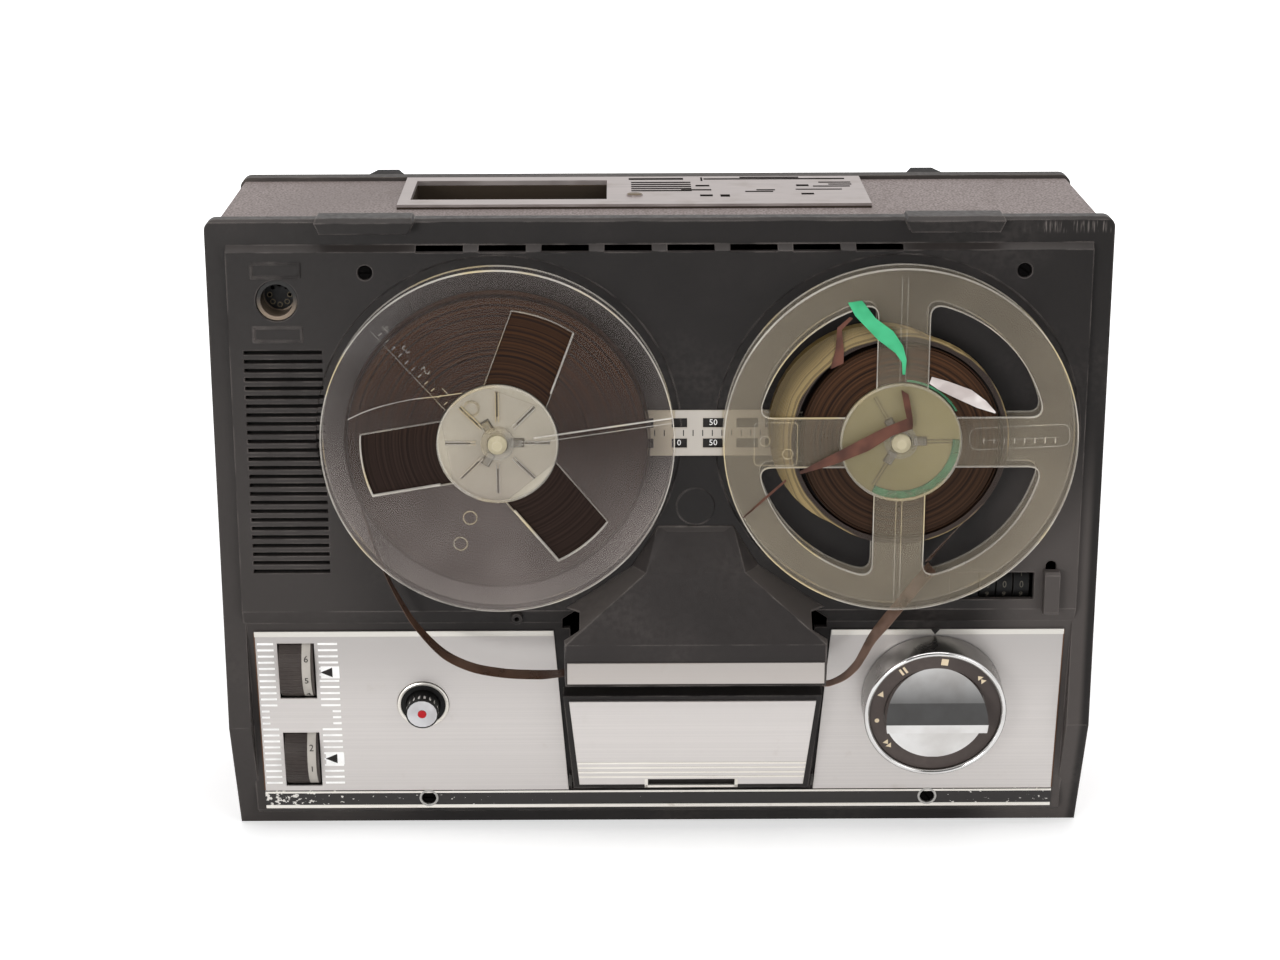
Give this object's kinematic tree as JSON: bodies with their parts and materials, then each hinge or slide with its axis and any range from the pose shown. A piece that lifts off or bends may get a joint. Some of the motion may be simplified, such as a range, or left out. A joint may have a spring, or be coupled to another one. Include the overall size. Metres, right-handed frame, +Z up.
{
  "type": "reel-to-reel tape recorder",
  "caption": "Portable reel-to-reel tape recorder standing on edge, with clear reels, tape path under a head cover, lean control panels, function knob, thumbwheels and counter.",
  "frame": {"origin": "middle of the flat underside, half way between the rim plane and the rear face", "axes": "+X to the right seen from the front, +Y away from the viewer, +Z up"},
  "size_m": [0.372, 0.1412, 0.279],
  "materials": {
    "deck_plastic": "dark warm grey moulding, fine grain",
    "body_cover": "taupe grained covering",
    "rear_plastic": "dark grey moulding",
    "foot_rubber": "matt black rubber",
    "steel": "plain steel",
    "zinc_sheet": "zinc plated sheet",
    "brushed_panel": "brushed along x, clear lacquer",
    "bare_strip": "satin light strip, left bare",
    "dark_strip": "black strip with two bright lines",
    "scale_metal": "satin plate",
    "socket_metal": "dull plated shell",
    "socket_black": "black insulator",
    "counter_black": "black wheels with light numbers",
    "cover_plastic": "dark grey moulding",
    "chrome_trim": "bright chrome",
    "signal_red": "red enamel",
    "legend_grey": "dark ring with light marks",
    "wheel_plastic": "ribbed dark plastic",
    "bush_brass": "plain brass",
    "rubber_black": "black rubber",
    "cone_paper": "black paper cone",
    "board_brown": "brown board",
    "iron_core": "varnished iron",
    "plate_metal": "satin light metal",
    "reel_clear": "clear moulded plastic",
    "reel_clear_b": "clear moulded plastic, faint olive",
    "tape_brown": "dark brown tape edges",
    "tape_gold": "loose tape turns, gold in the light"
  },
  "bodies": {
    "recorder": {"case_body": "body_cover", "rear_cover": "rear_plastic", "rear_feet": "foot_rubber", "rear_screws": "steel", "front_panel": "deck_plastic", "left_panel": "brushed_panel", "right_panel": "brushed_panel", "bottom_strip": "dark_strip", "deck_screws": "steel", "scale_plate": "scale_metal", "speaker_frame": "zinc_sheet", "speaker_cone": "cone_paper", "socket_shell": "socket_metal", "socket_insert": "socket_black", "counter_housing": "counter_black", "head_cover": "cover_plastic", "nameplate": "bare_strip", "flap_pins": "cover_plastic", "record_bezel": "cover_plastic", "potentiometers": "zinc_sheet", "selector_bush": "bush_brass", "chassis": "zinc_sheet", "head_plate": "zinc_sheet", "erase_head": "steel", "play_head": "steel", "tape_guides": "steel", "capstan_bush": "bush_brass", "drive_belt": "rubber_black", "motor_body": "iron_core", "spindle_bushes": "bush_brass", "transformer": "iron_core", "circuit_board": "board_brown", "connector_plate": "plate_metal", "connector_well": "socket_black", "tape_run": "tape_brown"},
    "supply": {"supply_turntable": "zinc_sheet", "supply_reel": "reel_clear", "supply_tape": "tape_brown"},
    "takeup": {"takeup_turntable": "zinc_sheet", "takeup_reel": "reel_clear_b", "takeup_tape": "tape_brown", "loose_turns": "tape_gold"},
    "flywheel": {"flywheel": "steel"},
    "motor_pulley": {"motor_pulley": "bush_brass"},
    "pinch_arm": {"pinch_arm": "steel"},
    "pinch_roller": {"pinch_roller": "rubber_black"},
    "selector": {"selector_skirt": "chrome_trim", "selector_legend": "legend_grey", "selector_grip": "chrome_trim", "selector_shaft": "steel"},
    "tone": {"tone_wheel": "wheel_plastic"},
    "volume": {"volume_wheel": "wheel_plastic"},
    "record_button": {"record_button": "chrome_trim", "record_dot": "signal_red"},
    "reset_key": {"reset_key": "deck_plastic"},
    "flap": {"flap_frame": "cover_plastic", "flap_plate": "brushed_panel"},
    "counter_units": {"counter_wheel_units": "counter_black"},
    "counter_tens": {"counter_wheel_tens": "counter_black"},
    "counter_hundreds": {"counter_wheel_hundreds": "counter_black"}
  },
  "joints": [
    {"name": "supply_spin", "type": "hinge", "parent": "recorder", "child": "supply", "pos_m": [-0.0669, -0.067, 0.187], "axis": [0, -1, 0], "continuous": true},
    {"name": "takeup_spin", "type": "hinge", "parent": "recorder", "child": "takeup", "pos_m": [0.0991, -0.067, 0.187], "axis": [0, -1, 0], "continuous": true},
    {"name": "flywheel_spin", "type": "hinge", "parent": "recorder", "child": "flywheel", "pos_m": [0.0402, -0.006, 0.09795], "axis": [0, -1, 0], "continuous": true},
    {"name": "motor_spin", "type": "hinge", "parent": "recorder", "child": "motor_pulley", "pos_m": [0.1202, -0.006, 0.06995], "axis": [0, -1, 0], "continuous": true},
    {"name": "pinch_swing", "type": "hinge", "parent": "recorder", "child": "pinch_arm", "pos_m": [0.0582, -0.0628, 0.08655], "axis": [0, 1, 0], "range_deg": [0, 7.5], "stiffness_Nm_per_rad": 0.02, "springref_deg": -5.73},
    {"name": "roller_spin", "type": "hinge", "parent": "pinch_arm", "child": "pinch_roller", "pos_m": [0.0402, -0.06695, 0.08655], "axis": [0, -1, 0], "continuous": true},
    {"name": "selector_turn", "type": "hinge", "parent": "recorder", "child": "selector", "pos_m": [0.1182, -0.04886, 0.0655], "axis": [0, -0.988, -0.1547], "range_deg": [-130, 50]},
    {"name": "tone_turn", "type": "hinge", "parent": "recorder", "child": "tone", "pos_m": [-0.1559, -0.03868, 0.08123], "axis": [1, 0, 0], "range_deg": [-135, 135]},
    {"name": "volume_turn", "type": "hinge", "parent": "recorder", "child": "volume", "pos_m": [-0.1559, -0.03177, 0.03713], "axis": [1, 0, 0], "range_deg": [-135, 135]},
    {"name": "record_press", "type": "slide", "parent": "recorder", "child": "record_button", "axis": [0, 0.988, 0.1547], "range_m": [0, 0.004], "stiffness_N_per_m": 300, "springref_m": -0.001},
    {"name": "reset_slide", "type": "slide", "parent": "recorder", "child": "reset_key", "axis": [0, 0, 1], "range_m": [0, 0.006], "stiffness_N_per_m": 150, "springref_m": -0.001},
    {"name": "flap_hinge", "type": "hinge", "parent": "recorder", "child": "flap", "pos_m": [0.0143, -0.04378, 0.02566], "axis": [1, 0, 0], "range_deg": [0, 95]},
    {"name": "counter_units_turn", "type": "hinge", "parent": "recorder", "child": "counter_units", "pos_m": [0.15385, -0.048, 0.1193], "axis": [1, 0, 0], "continuous": true},
    {"name": "counter_tens_turn", "type": "hinge", "parent": "recorder", "child": "counter_tens", "pos_m": [0.1467, -0.048, 0.1193], "axis": [1, 0, 0], "continuous": true},
    {"name": "counter_hundreds_turn", "type": "hinge", "parent": "recorder", "child": "counter_hundreds", "pos_m": [0.13955, -0.048, 0.1193], "axis": [1, 0, 0], "continuous": true}
  ],
  "couplings": [
    {"joint": "takeup_spin", "follows": "supply_spin", "ratio": 1.4199},
    {"joint": "motor_spin", "follows": "flywheel_spin", "ratio": 3.5},
    {"joint": "counter_units_turn", "follows": "supply_spin", "ratio": 0.14199},
    {"joint": "counter_tens_turn", "follows": "supply_spin", "ratio": 0.014199},
    {"joint": "counter_hundreds_turn", "follows": "supply_spin", "ratio": 0.00142}
  ]
}
